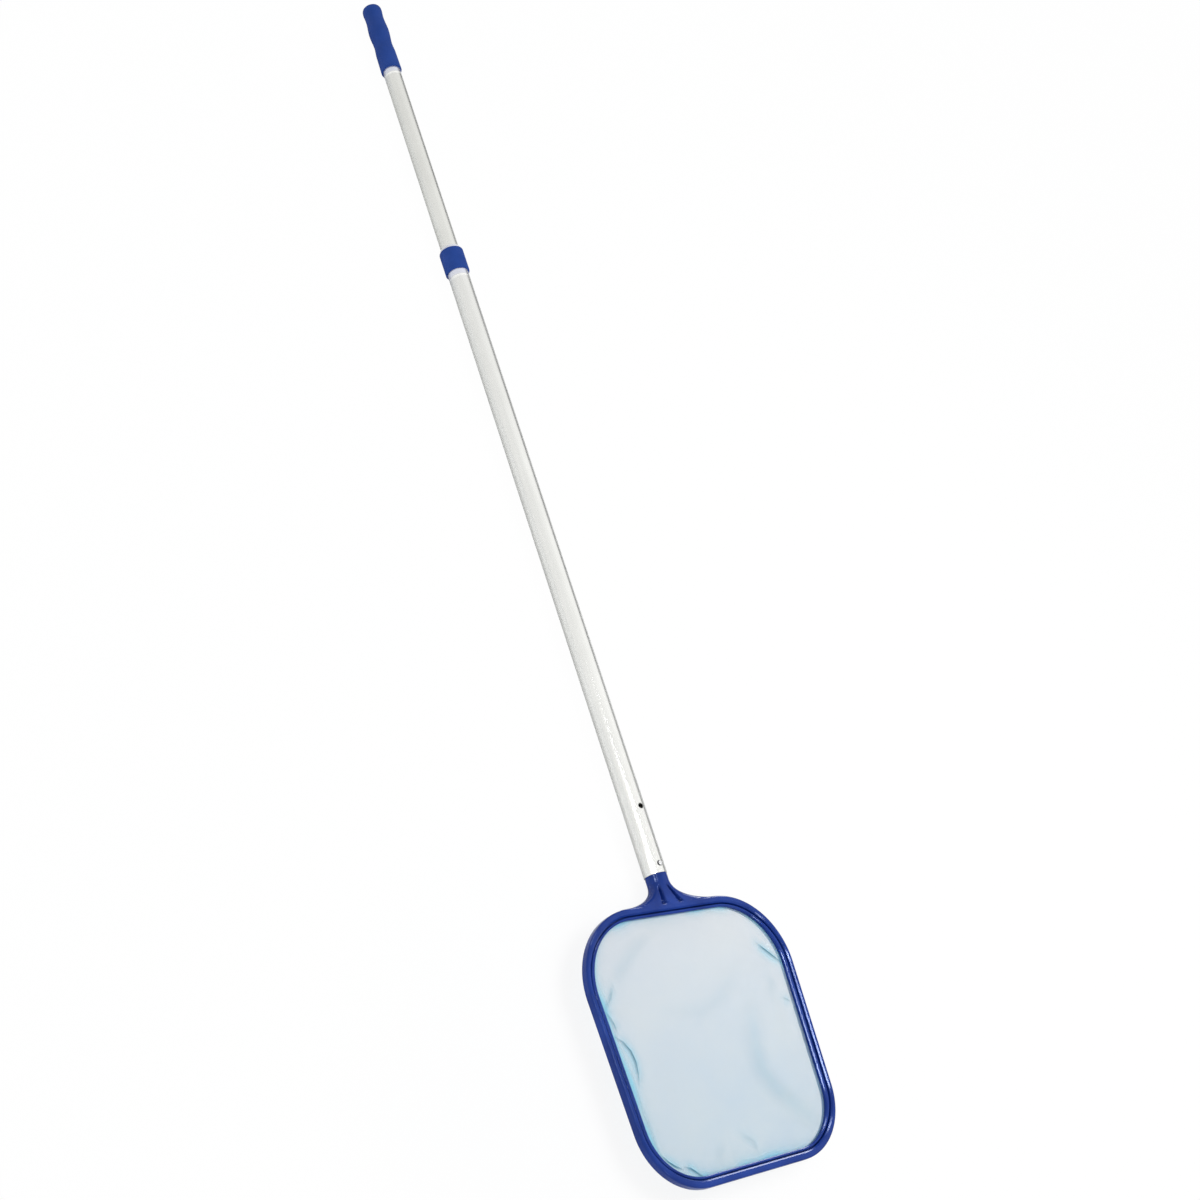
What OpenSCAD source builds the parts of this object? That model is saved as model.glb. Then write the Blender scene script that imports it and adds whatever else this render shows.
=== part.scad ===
// Leaf skimmer: a flat net in a moulded frame on a telescopic twist-lock pole.
// It lies flat with the net's face up: +Z up, the head towards -Y and the grip towards +Y.
// The origin is on the floor under the middle of the part. All sizes are in millimetres.

/* [Outer tube] */
// Outside diameter of the outer tube
tube_d = 26.5; // [25:0.1:29]
// Wall of the outer tube
tube_wall = 1.1; // [0.9:0.05:1.3]
// Length of the outer tube
tube_len = 832; // [780:1:1000]
// Diameter of the cross holes for a pair of spring buttons
cross_hole_d = 6.5; // [6.2:0.1:7]
// Distance from the tube's lower end to the buttons' holes
button_hole_inset = 10; // [9.5:0.5:14]
// Distance between the buttons' holes and the spare pair of holes
cross_hole_pitch = 67; // [60:1:90]

/* [Inner tube] */
// Radial gap between the inner tube and the outer tube's bore
slide_gap = 0.6; // [0.5:0.05:0.7]
// Wall of the inner tube
inner_wall = 1; // [0.8:0.05:1.2]
// Length of the inner tube
inner_len = 790; // [740:1:850]
// Length that shows between the collar's lower edge and the grip's lower edge
inner_reach = 331.4; // [240:0.1:360]

/* [Rolled grooves] */
// Distance from a collar or grip to the rolled groove below it
groove_inset = 10; // [6:0.5:14]
// Radius of the roll that makes the groove
groove_roll_r = 1.6; // [1:0.1:3]
// Depth of the groove
groove_depth = 0.35; // [0.2:0.05:0.5]

/* [Collar and guide bush] */
// Wall of the collar over the outer tube
collar_wall = 2.1; // [1.8:0.1:3.5]
// Length of the collar
collar_len = 32.6; // [31:0.2:40]
// Length of the collar that sits on the outer tube
collar_seat = 26.4; // [22:0.2:27.2]
// Radius on the collar's outer edges
collar_edge_r = 1.2; // [0.6:0.1:1.8]
// Length of the collar's lip that keeps the bush in
lip_len = 2.2; // [1.6:0.1:3]
// How far the bush's flange is wider than the outer tube, on the radius
bush_flange_step = 0.6; // [0.5:0.1:0.7]
// Wall of the bush's neck
bush_neck_wall = 1.3; // [1:0.1:1.4]
// How far the bush stands out of the collar
bush_proud = 4; // [2:0.1:6]

/* [Grip] */
// Length of the grip
grip_len = 110.5; // [100:0.5:150]
// Mean diameter of the grip's finger waves
grip_d = 26; // [25.8:0.1:34]
// Depth of the finger waves, on the diameter
grip_wave = 1.4; // [0.5:0.1:1.5]
// Distance between two finger waves
grip_pitch = 46; // [36:1:56]
// Distance from the closed end to the first bulge
grip_first_bulge = 43.5; // [38:0.5:52]
// Growth of the diameter just below the second waist
grip_step = 1.6; // [0.8:0.1:3]
// Length of that growth
grip_step_len = 15; // [10:0.5:20]
// Further growth of the diameter from the second waist to the lower edge
grip_taper = 1.4; // [0:0.1:2]
// Length of the rounded closed end
grip_round_len = 9; // [6:0.5:12]
// Thickness of the closed end
grip_end_wall = 4; // [2.5:0.5:8]

/* [Twist lock] */
// Length of the plug in the inner tube
plug_len = 26; // [18:1:40]
// Thickness of the plug's shoulder on the tube's end
shoulder_len = 2.4; // [1.5:0.1:4]
// Radial gap between the cam and the outer tube's bore
cam_gap = 0.5; // [0.45:0.05:0.65]
// Length of the cam
cam_len = 14; // [10:0.5:20]
// Offset of the boss that the cam turns on
cam_offset = 0.7; // [0.5:0.05:0.75]
// Diameter of the boss
boss_d = 9; // [8:0.1:12]
// Axial play of the cam
cam_play = 0.3; // [0.2:0.05:0.5]
// Diameter of the washer that keeps the cam on
washer_d = 14; // [13:0.5:16]
// Thickness of the washer
washer_t = 1.2; // [0.8:0.1:2]
// Shank diameter of the washer's screw
screw_d = 3; // [2.5:0.1:4]
// Length of the screw under its head
screw_len = 14; // [10:1:18]
// Diameter of the screw's head
screw_head_d = 5.6; // [5:0.1:8]
// Height of the screw's head
screw_head_h = 2.2; // [1.5:0.1:3]

/* [Spring clip] */
// Width of the spring's strip
spring_w = 8; // [6:0.5:10]
// Thickness of the strip
spring_t = 0.6; // [0.4:0.1:0.9]
// Length of the straight pad that carries a button, beyond the button's axis
pad_len = 7; // [5:0.5:9]
// Distance from the button's axis to the spring's bend
spring_reach = 38; // [30:1:42]
// Radius of the spring's bend
bend_r = 4; // [3:0.5:5]
// Diameter of the buttons
button_d = 5.9; // [5:0.1:6]
// How far a button stands out of the tube
button_proud = 2; // [1.5:0.1:3]
// Height of a button's domed end
button_dome = 1.5; // [1:0.1:2.5]

/* [Neck] */
// Wall of the spigot that goes into the outer tube
spigot_wall = 2.3; // [1.8:0.1:3]
// Length of the spigot
spigot_len = 58; // [56:1:64]
// Diameter of the neck where it leaves the tube
neck_d = 25; // [24.6:0.1:26.2]
// Length of the neck's round part
neck_straight = 8; // [6:0.5:12]
// Width of the neck's flare on each side
flare_w = 58; // [40:1:62]
// Thickness of the flare where it meets the frame
flare_t = 13; // [11:0.5:14]
// Depth of the two grooves between the neck's ribs
neck_groove_depth = 4; // [1.5:0.1:4.5]
// Distance from the neck's round part to the start of the grooves
neck_groove_start = 6; // [4:0.5:9]
// Width of a neck groove at the tube's side
neck_groove_w1 = 2.2; // [1.5:0.1:3]
// Width of a neck groove at the frame's side
neck_groove_w2 = 6.5; // [4:0.5:9]
// Width of the rib between the grooves at the tube's side
neck_rib_w1 = 4.2; // [3:0.1:6]
// Width of the rib between the grooves at the frame's side
neck_rib_w2 = 13; // [9:0.5:18]
// Depth of the flare's top under the frame's top
flare_inset = 0.3; // [0.2:0.1:1]

/* [Head frame] */
// Distance from the tube's end to the middle line of the frame's near edge
edge_near = 40.5; // [38:0.5:55]
// Distance from the tube's end to the middle line of the frame's far edge
edge_far = 317.4; // [300:0.1:360]
// Half width between the middle lines at the near edge
half_near = 141.3; // [125:0.5:160]
// Half width between the middle lines at the far edge
half_far = 127.5; // [115:0.5:140]
// Corner radius of the middle line at the near edge
corner_near_r = 75.8; // [60:0.5:85]
// Corner radius of the middle line at the far edge
corner_far_r = 64; // [45:0.5:72]
// Width of the frame's section
frame_w = 11.8; // [11:0.1:14]
// Thickness of the frame's section
frame_t = 11.4; // [11:0.1:14]
// Height of the frame's middle plane over the pole's axis
frame_rise = 8; // [5:0.5:9]
// Width of the outer bead
bead_w = 5.8; // [5.7:0.1:6.8]
// Radius on the outer bead's edges
bead_r = 2.8; // [1.8:0.1:2.8]
// Depth of the net's seat under the frame's top
seat_depth = 7.1; // [6.5:0.1:8]
// Radius on the ledge's inner edge
ledge_r = 1.6; // [0.8:0.1:1.8]

/* [Retaining ring] */
// Gap between the ring and the frame's outer bead
ring_gap = 0.9; // [0.5:0.1:1]
// Height of the ring over the net
ring_h = 4.1; // [3:0.1:5]
// Radius on the ring's top edges
ring_r = 1.9; // [0.8:0.1:1.9]

/* [Net] */
// Thickness of the net
net_t = 0.7; // [0.5:0.1:0.9]
// Width of the net's threads
thread_w = 2; // [1.9:0.1:2.4]
// Distance between the threads
net_pitch = 17; // [17:0.5:24]
// Width of the net that the ring clamps
clamp_w = 3; // [2:0.1:3.2]
// Distance from a gap's middle that the net's opening must reach, in millimetres
edge_reach = 5; // [2:0.5:7]

/* [Fits] */
// Radial clearance of pieces that are pressed or glued together
seat_gap = 0.05; // [0.03:0.01:0.08]
// Radial clearance of pieces that turn or slide in each other
run_gap = 0.1; // [0.06:0.01:0.1]
// Radial clearance between the bush's neck and the collar's lip
lip_gap = 0.3; // [0.2:0.05:0.4]
// Axial clearance of the bush
end_gap = 0.2; // [0.1:0.05:0.3]
// Radial clearance of the buttons in the spigot's holes
button_gap = 0.3; // [0.25:0.05:0.35]

/* [Hidden] */
$fn = 96;

blue = [0.10, 0.17, 0.45];
matte_blue = [0.13, 0.22, 0.50];
aluminium = [0.88, 0.88, 0.86];
white = [0.93, 0.93, 0.91];
steel = [0.72, 0.73, 0.75];
net_blue = [0.76, 0.86, 0.90];

over = 1;
tube_r = tube_d / 2;
tube_bore_r = tube_r - tube_wall;
inner_r = tube_bore_r - slide_gap;
inner_bore_r = inner_r - inner_wall;
collar_r = tube_r + seat_gap + collar_wall;
bush_flange_r = tube_r + bush_flange_step;
bush_bore_r = inner_r + run_gap;
bush_neck_r = bush_bore_r + bush_neck_wall;

// Stations along the pole, measured from the outer tube's lower end
collar_at = tube_len - collar_seat;
grip_at = collar_at + inner_reach;
grip_end = grip_at + grip_len;
inner_end = grip_end - grip_end_wall;
inner_start = inner_end - inner_len;
spare_hole_at = button_hole_inset + cross_hole_pitch;
head_end = edge_far + frame_w / 2;

// Place of the pole's axis and of the outer tube's lower end
axis_z = collar_r;
tube_end_y = (head_end - grip_end) / 2;

// Cam and boss
plug_r = inner_bore_r - seat_gap;
cam_r = tube_bore_r - cam_gap;
boss_len = cam_len + cam_play;

// Spring clip
spigot_r = tube_bore_r - run_gap;
spigot_bore_r = spigot_r - spigot_wall;
button_r = button_d / 2;
button_hole_r = button_r + button_gap;
pad_z = sqrt(pow(spigot_bore_r, 2) - pow(spring_w / 2, 2)) - seat_gap;

// Head: slope of the sides and the corners as [x, y, radius, first angle, last angle]
slope = atan((half_near - half_far) / (edge_far - edge_near));
near_x = half_near - corner_near_r * tan(slope) - corner_near_r / cos(slope);
far_x = half_far + corner_far_r * tan(slope) - corner_far_r / cos(slope);
near_y = -edge_near - corner_near_r;
far_y = -edge_far + corner_far_r;
corners = [[near_x, near_y, corner_near_r, -slope, 90],
           [-near_x, near_y, corner_near_r, 90, 180 + slope],
           [-far_x, far_y, corner_far_r, 180 + slope, 270],
           [far_x, far_y, corner_far_r, 270, 360 - slope]];
frame_z = axis_z + frame_rise;
seat_z = frame_t / 2 - seat_depth;
opening_grow = -frame_w / 2;
bead_in = frame_w / 2 - bead_w;
net_grow = opening_grow + clamp_w;
corner_steps = 14;
ledge_steps = 3;
ring_steps = 4;
bead_steps = 5;

function arc(x, y, r, from, steps) =
    [for (i = [0 : steps]) let(a = from + 90 * i / steps) [x + r * cos(a), y + r * sin(a)]];

ring_out = bead_in - ring_gap;
ring_low = seat_z + net_t;
frame_section = concat(
    arc(-frame_w / 2 + ledge_r, -frame_t / 2 + ledge_r, ledge_r, 180, ledge_steps),
    arc(frame_w / 2 - bead_r, -frame_t / 2 + bead_r, bead_r, 270, bead_steps),
    arc(frame_w / 2 - bead_r, frame_t / 2 - bead_r, bead_r, 0, bead_steps),
    arc(bead_in + bead_r, frame_t / 2 - bead_r, bead_r, 90, bead_steps),
    [[bead_in, seat_z], [-frame_w / 2, seat_z]]);
ring_section = concat(
    [[-frame_w / 2, ring_low], [ring_out, ring_low]],
    arc(ring_out - ring_r, ring_low + ring_h - ring_r, ring_r, 0, ring_steps),
    arc(-frame_w / 2 + ring_r, ring_low + ring_h - ring_r, ring_r, 90, ring_steps));

// Neck
neck_r = neck_d / 2;
flare_len = edge_near - frame_w / 2 - neck_straight;
flare_base = frame_rise + frame_t / 2 - flare_t / 2 - flare_inset;
neck_rings = 12;
neck_sides = 40;

function around(c, angle, grow) = [c[0] + (c[2] + grow) * cos(angle), c[1] + (c[2] + grow) * sin(angle)];

function bell(u) = u * u * (3 - 2 * u);

// Superellipse ring of the neck at share u of its flare, from round to a rounded oblong
function neck_ring(u, reach) =
    let(half_w = neck_r + flare_w * (1 - cos(90 * u)),
        half_h = neck_r + (flare_t / 2 - neck_r) * bell(u),
        mid = flare_base * bell(u),
        power = 2 / (2 + bell(u)))
    [for (i = [0 : neck_sides - 1])
        let(a = -360 * i / neck_sides, s = sin(a), c = cos(a))
        [half_w * sign(c) * pow(abs(c), power), -reach, mid + half_h * sign(s) * pow(abs(s), power)]];

function net_inside(x, y, grow) =
    let(c = y > near_y ? corners[0] : corners[3], ax = abs(x))
    y > far_y && y < near_y
        ? (ax - near_x) * cos(slope) - (y - near_y) * sin(slope) < corner_near_r + grow
        : ax < c[0] ? abs(y - c[1]) < c[2] + grow : norm([ax - c[0], y - c[1]]) < c[2] + grow;

// Diameter of the grip at a distance from its closed end
grip_waist = grip_first_bulge + grip_pitch / 2;

function grip_wave_d(s) =
    s < grip_waist
        ? grip_d + grip_wave * cos(360 * (s - grip_first_bulge) / grip_pitch)
        : grip_d - grip_wave + grip_step * bell(min((s - grip_waist) / grip_step_len, 1))
          + grip_taper * (s - grip_waist) / (grip_len - grip_waist);

// Middle line of one leg of the spring, from the pad's free end to the top of the bend
bend_at = button_hole_inset + spring_reach - bend_r;
pad_mid = pad_z - spring_t / 2;
bend_steps = 8;
edge_steps = 4;
grip_steps = 24;
dome_steps = 8;
leg = concat([[button_hole_inset - pad_len, pad_mid], [button_hole_inset + pad_len, pad_mid]],
             [for (i = [0 : bend_steps]) bend_point(90 - 90 * i / bend_steps, bend_r)]);

function bend_point(a, r) = [bend_at + r * cos(a), r * sin(a)];

function left_of(p, q) = [p[1] - q[1], q[0] - p[0]] / norm(q - p);

function side(path, shift) =
    [for (i = [0 : len(path) - 1])
        path[i] + shift * left_of(path[max(i - 1, 0)], path[min(i + 1, len(path) - 1)])];

function reversed(list) = [for (i = [len(list) - 1 : -1 : 0]) list[i]];

// Children are drawn along +Z from a station on the pole's axis
module on_pole(station)
    translate([0, tube_end_y + station, axis_z]) rotate([-90, 0, 0]) children();

// Children are drawn in the head's own frame: -Y away from the tube, Z = 0 on the pole's axis
module on_head()
    translate([0, tube_end_y, axis_z]) children();

module pipe(outer_r, bore_r, length)
    difference() {
        cylinder(r = outer_r, h = length);
        translate([0, 0, -over]) cylinder(r = bore_r, h = length + 2 * over);
    }

module rolled_groove(surface_r)
    rotate_extrude() translate([surface_r + groove_roll_r - groove_depth, 0]) circle(r = groove_roll_r);

module cross_holes(station, hole_r)
    translate([0, tube_end_y + station, axis_z - tube_r - over])
        cylinder(r = hole_r, h = 2 * (tube_r + over));

// Closed tube through rings of points, each ring turning the same way round
module skin(rings, closed) {
    sides = len(rings[0]);
    count = len(rings);
    faces = [for (k = [0 : count - (closed ? 1 : 2)], i = [0 : sides - 1], half = [0, 1])
        let(j = (i + 1) % sides,
            a = k * sides + i, b = k * sides + j,
            c = (k + 1) % count * sides + j, d = (k + 1) % count * sides + i)
        half == 0 ? [a, b, c] : [a, c, d]];
    ends = [[for (i = [sides - 1 : -1 : 0]) i], [for (i = [0 : sides - 1]) (count - 1) * sides + i]];
    polyhedron(points = [for (ring = rings, p = ring) p], faces = closed ? faces : concat(faces, ends));
}

// A section, as points [outwards, up], swept round the head's middle line
module round_head(section)
    skin([for (c = corners, k = [0 : corner_steps])
              let(angle = c[3] + (c[4] - c[3]) * k / corner_steps)
              [for (p = section) concat(around(c, angle, p[0]), [p[1]])]], true);

module head_outline(grow) {
    polygon([for (c = corners, angle = [c[3], c[4]]) around(c, angle, grow)]);
    for (c = corners)
        translate([c[0], c[1]]) circle(r = c[2] + grow);
}

module neck_solid() {
    shares = [for (i = [0 : neck_rings]) i / neck_rings];
    skin(concat([neck_ring(0, 0)],
                [for (u = shares) neck_ring(u, neck_straight + flare_len * sin(90 * u))],
                [neck_ring(1, edge_near)]), false);
}

module neck_grooves()
    for (m = [-1, 1])
        translate([0, 0, frame_rise + frame_t / 2 - neck_groove_depth])
            linear_extrude(height = 2 * neck_groove_depth)
                polygon([[m * neck_rib_w1 / 2, -neck_straight - neck_groove_start],
                         [m * (neck_rib_w1 / 2 + neck_groove_w1), -neck_straight - neck_groove_start],
                         [m * (neck_rib_w2 / 2 + neck_groove_w2), -edge_near + frame_w / 2],
                         [m * neck_rib_w2 / 2, -edge_near + frame_w / 2]]);

module head_frame()
    color(blue) difference() {
        union() {
            on_head() difference() {
                neck_solid();
                neck_grooves();
            }
            on_head() translate([0, 0, frame_rise]) round_head(frame_section);
            on_pole(-over) pipe(spigot_r, spigot_bore_r, spigot_len + over);
        }
        cross_holes(button_hole_inset, button_hole_r);
    }

module retaining_ring()
    color(blue) on_head() translate([0, 0, frame_rise]) round_head(ring_section);

module net() {
    half_count = ceil(half_near / net_pitch);
    middle = -(edge_near + edge_far) / 2;
    gap = net_pitch - thread_w;
    rows = ceil((edge_far - edge_near) / net_pitch / 2);
    color(net_blue) on_head() translate([0, 0, frame_rise + seat_z])
        linear_extrude(height = net_t) difference() {
            head_outline(net_grow);
            intersection() {
                head_outline(opening_grow);
                for (i = [-half_count : half_count - 1], j = [-rows : rows - 1]) {
                    x = (i + 0.5) * net_pitch;
                    y = middle + (j + 0.5) * net_pitch;
                    if (net_inside(x, y, opening_grow + edge_reach))
                        translate([x, y]) square(gap, center = true);
                }
            }
        }
}

module outer_tube()
    color(aluminium) difference() {
        on_pole(0) pipe(tube_r, tube_bore_r, tube_len);
        on_pole(collar_at - groove_inset) rolled_groove(tube_r);
        cross_holes(button_hole_inset, cross_hole_d / 2);
        cross_holes(spare_hole_at, cross_hole_d / 2);
    }

module collar()
    color(matte_blue) on_pole(collar_at) difference() {
        rotate_extrude() polygon(concat(
            [[0, collar_len], [0, 0]],
            arc(collar_r - collar_edge_r, collar_edge_r, collar_edge_r, 270, edge_steps),
            arc(collar_r - collar_edge_r, collar_len - collar_edge_r, collar_edge_r, 0, edge_steps)));
        translate([0, 0, -over]) cylinder(r = tube_r + seat_gap, h = collar_len);
        translate([0, 0, collar_seat])
            cylinder(r = bush_flange_r + run_gap, h = collar_len - collar_seat - lip_len);
        cylinder(r = bush_neck_r + lip_gap, h = collar_len + over);
    }

module guide_bush() {
    flange_len = collar_len - collar_seat - lip_len - 2 * end_gap;
    neck_len = collar_len - collar_seat - end_gap + bush_proud;
    color(white) on_pole(tube_len + end_gap) {
        pipe(bush_flange_r, bush_bore_r, flange_len);
        pipe(bush_neck_r, bush_bore_r, neck_len);
    }
}

module inner_tube()
    color(aluminium) difference() {
        on_pole(inner_start) pipe(inner_r, inner_bore_r, inner_len);
        on_pole(grip_at - groove_inset) rolled_groove(inner_r);
    }

module grip() {
    body_len = grip_len - grip_round_len;
    end_r = grip_wave_d(grip_round_len) / 2;
    wave = [for (i = [0 : grip_steps])
        let(s = grip_round_len + body_len * i / grip_steps) [grip_wave_d(s) / 2, grip_len - s]];
    dome = [for (i = [0 : dome_steps])
        let(a = 90 * i / dome_steps) [end_r * sqrt(sin(a)), body_len + grip_round_len * sqrt(cos(a))]];
    color(matte_blue) on_pole(grip_at) difference() {
        rotate_extrude() polygon(concat([[0, 0]], reversed(wave), reversed(dome)));
        translate([0, 0, -over]) cylinder(r = inner_r + seat_gap, h = grip_len - grip_end_wall + over);
    }
}

module lock_plug()
    color(white) difference() {
        union() {
            on_pole(inner_start) cylinder(r = plug_r, h = plug_len);
            on_pole(inner_start - shoulder_len) cylinder(r = inner_r - run_gap, h = shoulder_len);
            translate([cam_offset, 0, 0])
                on_pole(inner_start - shoulder_len - boss_len) cylinder(r = boss_d / 2, h = boss_len);
        }
        translate([cam_offset, 0, 0])
            on_pole(inner_start - shoulder_len - boss_len - over)
                cylinder(r = screw_d / 2 + seat_gap, h = screw_len + over);
    }

module lock_cam()
    color(white) difference() {
        on_pole(inner_start - shoulder_len - cam_len - cam_play / 2) cylinder(r = cam_r, h = cam_len);
        translate([cam_offset, 0, 0]) on_pole(inner_start - shoulder_len - cam_len - over)
            cylinder(r = boss_d / 2 + run_gap, h = cam_len + 2 * over);
    }

module cam_washer()
    color(steel) translate([cam_offset, 0, 0])
        on_pole(inner_start - shoulder_len - boss_len - washer_t)
            pipe(washer_d / 2, screw_d / 2 + seat_gap, washer_t);

module cam_screw()
    color(steel) translate([cam_offset, 0, 0])
        on_pole(inner_start - shoulder_len - boss_len - washer_t - screw_head_h) {
            cylinder(r = screw_head_d / 2, h = screw_head_h);
            cylinder(r = screw_d / 2, h = screw_head_h + screw_len);
        }

module spring_clip() {
    whole = concat(leg, [for (p = reversed(leg)) [p[0], -p[1]]]);
    path = [for (i = [0 : len(whole) - 1]) if (i != len(leg)) whole[i]];
    color(steel) translate([-spring_w / 2, tube_end_y, axis_z]) rotate([90, 0, 90])
        linear_extrude(height = spring_w)
            polygon(concat(side(path, spring_t / 2), reversed(side(path, -spring_t / 2))));
}

module spring_button() {
    straight = tube_r + button_proud - button_dome - pad_z;
    dome_r = (pow(button_r, 2) + pow(button_dome, 2)) / (2 * button_dome);
    translate([0, 0, pad_z]) {
        cylinder(r = button_r, h = straight);
        translate([0, 0, straight]) intersection() {
            cylinder(r = button_r, h = button_dome);
            translate([0, 0, button_dome - dome_r]) sphere(r = dome_r);
        }
    }
}

module front_button()
    color(steel) translate([0, tube_end_y + button_hole_inset, axis_z]) spring_button();

module rear_button()
    color(steel) translate([0, tube_end_y + button_hole_inset, axis_z]) rotate([0, 180, 0]) spring_button();

head_frame();
retaining_ring();
net();
outer_tube();
collar();
guide_bush();
inner_tube();
grip();
lock_plug();
lock_cam();
cam_washer();
cam_screw();
spring_clip();
front_button();
rear_button();
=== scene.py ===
import math

import bmesh
import bpy
from mathutils import Matrix, Vector, noise


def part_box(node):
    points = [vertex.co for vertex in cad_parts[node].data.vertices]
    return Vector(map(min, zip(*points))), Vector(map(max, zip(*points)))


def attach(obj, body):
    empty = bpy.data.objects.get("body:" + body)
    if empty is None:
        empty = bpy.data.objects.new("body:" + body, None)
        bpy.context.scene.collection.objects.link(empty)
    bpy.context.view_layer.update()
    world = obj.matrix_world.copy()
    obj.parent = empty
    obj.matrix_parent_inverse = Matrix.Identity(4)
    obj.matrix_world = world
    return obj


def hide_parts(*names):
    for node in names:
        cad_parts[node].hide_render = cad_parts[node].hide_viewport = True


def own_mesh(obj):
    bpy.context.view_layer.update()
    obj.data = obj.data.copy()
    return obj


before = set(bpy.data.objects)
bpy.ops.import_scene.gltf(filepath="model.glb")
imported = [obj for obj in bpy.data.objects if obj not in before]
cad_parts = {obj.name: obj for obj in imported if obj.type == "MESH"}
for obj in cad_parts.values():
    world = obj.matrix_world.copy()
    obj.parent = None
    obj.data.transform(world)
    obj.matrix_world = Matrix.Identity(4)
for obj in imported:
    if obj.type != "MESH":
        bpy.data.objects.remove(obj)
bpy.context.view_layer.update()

mm = 0.001
quarter = math.pi / 2

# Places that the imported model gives
tubeLow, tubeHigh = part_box("outer_tube")
netLow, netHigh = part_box("net")
collarLow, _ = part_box("collar")
gripLow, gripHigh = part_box("grip")
tubeEnd = Vector((0, tubeLow.y, (tubeLow.z + tubeHigh.z) / 2))
print("stage: frame loaded")

# Camera, fitted to the photograph's outlines and placed from the outer tube's lower end
camera = {
    "fromTubeEnd": Vector((-1.2123, -0.3923, 1.3657)),
    "right": Vector((0.7747, -0.2970, 0.5582)),
    "up": Vector((-0.0016, 0.8819, 0.4714)),
    "back": Vector((-0.6323, -0.3660, 0.6828)),
    "focalPixels": 1696.8,
    "framePixels": 1200,
    "sensor": 36.0,
    "clipEnd": 20,
}
cameraData = bpy.data.cameras.new("photoCamera")
cameraData.sensor_width = camera["sensor"]
cameraData.lens = camera["sensor"] * camera["focalPixels"] / camera["framePixels"]
cameraData.clip_end = camera["clipEnd"]
cameraObject = bpy.data.objects.new("photoCamera", cameraData)
cameraTurn = Matrix((camera["right"], camera["up"], camera["back"])).transposed().to_4x4()
cameraObject.matrix_world = Matrix.Translation(tubeEnd + camera["fromTubeEnd"]) @ cameraTurn
bpy.context.scene.collection.objects.link(cameraObject)
bpy.context.scene.camera = cameraObject
print("stage: camera")


# Node helpers. A socket takes a number, a colour or another node's output
def fill(tree, node, values):
    for label, value in values.items():
        socket = node.inputs[label]
        if isinstance(value, bpy.types.NodeSocket):
            tree.links.new(value, socket)
        elif socket.type == "RGBA":
            socket.default_value = (*value, 1)
        else:
            socket.default_value = value
    return node


def newMaterial(name):
    material = bpy.data.materials.new(name)
    material.use_nodes = True
    tree = material.node_tree
    tree.nodes.clear()
    output = tree.nodes.new("ShaderNodeOutputMaterial")
    shader = tree.nodes.new("ShaderNodeBsdfPrincipled")
    tree.links.new(shader.outputs[0], output.inputs[0])
    return material, tree, shader, output


def objectPoint(tree, stretch=(1, 1, 1)):
    where = tree.nodes.new("ShaderNodeTexCoord")
    mapping = tree.nodes.new("ShaderNodeMapping")
    return fill(tree, mapping, {"Vector": where.outputs["Object"], "Scale": stretch}).outputs[0]


def axesOf(tree, point):
    return fill(tree, tree.nodes.new("ShaderNodeSeparateXYZ"), {0: point}).outputs


def noiseAt(tree, point, scale, detail=3, roughness=0.55):
    texture = tree.nodes.new("ShaderNodeTexNoise")
    fill(tree, texture, {"Vector": point, "Scale": scale, "Detail": detail, "Roughness": roughness})
    return texture.outputs["Fac"]


def ramp(tree, value, places, dark, light):
    node = tree.nodes.new("ShaderNodeValToRGB")
    for element, place, colour in zip(node.color_ramp.elements, places, (dark, light)):
        element.position = place
        element.color = (*colour, 1)
    tree.links.new(value, node.inputs[0])
    return node.outputs["Color"]


def mapRange(tree, value, target, source=(0.0, 1.0)):
    node = tree.nodes.new("ShaderNodeMapRange")
    fill(tree, node, {"Value": value, "From Min": source[0], "From Max": source[1],
                      "To Min": target[0], "To Max": target[1]})
    return node.outputs[0]


def maths(tree, operation, *values):
    node = tree.nodes.new("ShaderNodeMath")
    node.operation = operation
    return fill(tree, node, dict(enumerate(values))).outputs[0]


def vectorMaths(tree, operation, *values):
    node = tree.nodes.new("ShaderNodeVectorMath")
    node.operation = operation
    return fill(tree, node, dict(enumerate(values))).outputs


def blended(tree, share, first, second):
    node = tree.nodes.new("ShaderNodeMix")
    node.data_type = "RGBA"
    return fill(tree, node, {"Factor": share, "A": first, "B": second}).outputs["Result"]


def mixedShader(tree, share, first, second):
    return fill(tree, tree.nodes.new("ShaderNodeMixShader"), {0: share, 1: first, 2: second}).outputs[0]


def bumped(tree, height, strength, distance):
    node = tree.nodes.new("ShaderNodeBump")
    return fill(tree, node, {"Height": height, "Strength": strength, "Distance": distance}).outputs[0]


# Materials. A pair is the low and the high end of a range, and noise is in waves per metre
frameLook = {
    "dark": (0.006, 0.028, 0.2), "light": (0.012, 0.046, 0.285), "cloud": {"scale": 26},
    "cloudRange": (0.35, 0.68), "scuffs": {"scale": 420, "detail": 4, "roughness": 0.7},
    "scuffRange": (0.35, 0.7), "roughness": (0.1, 0.2), "flow": {"scale": 130, "detail": 2},
    "flowStretch": (1, 0.3, 1), "bumpStrength": 0.08, "bumpHeight": 0.5 * mm, "specular": 0.3,
    "specularTint": (0.58, 0.7, 1),
}


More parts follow.
